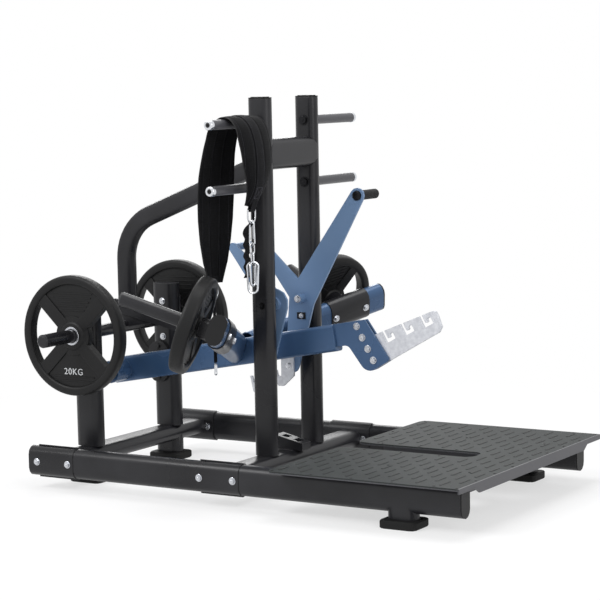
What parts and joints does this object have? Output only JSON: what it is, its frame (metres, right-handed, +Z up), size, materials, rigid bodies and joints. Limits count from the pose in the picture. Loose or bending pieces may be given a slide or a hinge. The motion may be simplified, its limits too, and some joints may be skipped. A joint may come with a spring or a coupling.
{
  "type": "belt squat machine",
  "caption": "Free-standing belt squat machine: standing platform, rear-pivoted lever with hook comb, catch lever, weight plates on horns and a padded hip belt.",
  "frame": {"origin": "centre of the whole machine's footprint box, on the floor", "axes": "+X towards the user's platform (front), +Y towards the machine's left side, +Z up"},
  "size_m": [1.93, 1.2888, 1.4278],
  "materials": {
    "black_coat": "satin",
    "blue_coat": "satin",
    "bare_steel": "satin",
    "bright_plating": "polished",
    "cap_plastic": "matte",
    "foot_rubber": "matte",
    "bearing_housing": "satin",
    "plate_iron": "satin",
    "mat_rubber": "matte",
    "grip_rubber": "matte",
    "belt_fabric": "matte"
  },
  "bodies": {
    "frame": {"rear_rail_right": "black_coat", "rear_rail_left": "black_coat", "middle_rail_right": "black_coat", "middle_rail_left": "black_coat", "front_rail_right": "black_coat", "front_rail_left": "black_coat", "front_rail_cap_right": "cap_plastic", "front_rail_cap_left": "cap_plastic", "rear_crossbeam": "black_coat", "front_crossbeam": "black_coat", "front_foot_right": "foot_rubber", "front_foot_left": "foot_rubber", "rear_foot_right": "foot_rubber", "rear_foot_left": "foot_rubber", "rear_post_right": "black_coat", "rear_post_left": "black_coat", "pivot_bearing_right": "bearing_housing", "pivot_bearing_left": "bearing_housing", "rear_weight_horn_right": "black_coat", "rear_weight_horn_left": "black_coat", "head_bracket": "black_coat", "brace_tube": "black_coat", "upright_right": "black_coat", "upright_left": "black_coat", "upright_cap_right": "cap_plastic", "upright_cap_left": "cap_plastic", "storage_horn_lower_right": "black_coat", "storage_horn_lower_left": "black_coat", "storage_horn_upper_right": "black_coat", "storage_horn_upper_left": "black_coat", "crossbar": "black_coat", "deck_pan": "black_coat", "platform_mat": "mat_rubber", "catch_shaft_right": "bare_steel", "catch_shaft_left": "bare_steel"},
    "lever": {"lever_beam": "blue_coat", "pivot_shaft": "bare_steel", "lever_arm_right": "blue_coat", "lever_arm_left": "blue_coat", "arm_cap_right": "cap_plastic", "arm_cap_left": "cap_plastic", "lever_weight_horn_right": "black_coat", "lever_weight_horn_left": "black_coat", "head_plate_right": "blue_coat", "head_plate_left": "blue_coat", "hook_comb": "bare_steel"},
    "catch": {"catch_plate_right": "blue_coat", "catch_plate_left": "blue_coat", "catch_handle": "grip_rubber", "catch_cross_tube": "blue_coat", "catch_jaw_right": "bare_steel", "catch_jaw_left": "bare_steel"},
    "rear_plate_right": {"rear_plate_right": "plate_iron"},
    "rear_plate_left": {"rear_plate_left": "plate_iron"},
    "lever_plate_right": {"lever_plate_right": "plate_iron"},
    "lever_plate_left": {"lever_plate_left": "plate_iron"},
    "belt": {"hip_belt": "belt_fabric"},
    "front_ring": {"belt_ring_front": "bright_plating"},
    "front_chain": {"belt_chain_front": "bright_plating"},
    "rear_drop": {"belt_drop_rear": "bright_plating"}
  },
  "joints": [
    {"name": "lever_lift", "type": "hinge", "parent": "frame", "child": "lever", "pos_m": [-0.757, 0, 0.391], "axis": [0, 1, 0], "range_deg": [0, 22.4]},
    {"name": "catch_turn", "type": "hinge", "parent": "frame", "child": "catch", "pos_m": [-0.015, 0, 0.683], "axis": [0, 1, 0], "range_deg": [-18, 0]},
    {"name": "rear_plate_right_slide", "type": "slide", "parent": "frame", "child": "rear_plate_right", "axis": [0, -1, 0], "range_m": [0, 0.15]},
    {"name": "rear_plate_left_slide", "type": "slide", "parent": "frame", "child": "rear_plate_left", "axis": [0, 1, 0], "range_m": [0, 0.15]},
    {"name": "lever_plate_right_slide", "type": "slide", "parent": "lever", "child": "lever_plate_right", "axis": [-0.8733, -0.348, 0.341], "range_m": [0, 0.1]},
    {"name": "lever_plate_left_slide", "type": "slide", "parent": "lever", "child": "lever_plate_left", "axis": [-0.8733, 0.348, 0.341], "range_m": [0, 0.1]},
    {"name": "belt_swing", "type": "hinge", "parent": "frame", "child": "belt", "pos_m": [-0.0215, -0.31, 1.3375], "axis": [0, 1, 0], "range_deg": [0, 4]},
    {"name": "front_ring_swing", "type": "hinge", "parent": "belt", "child": "front_ring", "pos_m": [0.028, -0.31, 1.036], "axis": [0, 1, 0], "range_deg": [-15, 15]},
    {"name": "front_chain_swing", "type": "hinge", "parent": "front_ring", "child": "front_chain", "pos_m": [0.028, -0.31, 0.99], "axis": [0, 1, 0], "range_deg": [-15, 15]},
    {"name": "rear_drop_swing", "type": "hinge", "parent": "belt", "child": "rear_drop", "pos_m": [-0.1508, -0.29, 0.758], "axis": [0, 1, 0], "range_deg": [0, 8]}
  ]
}
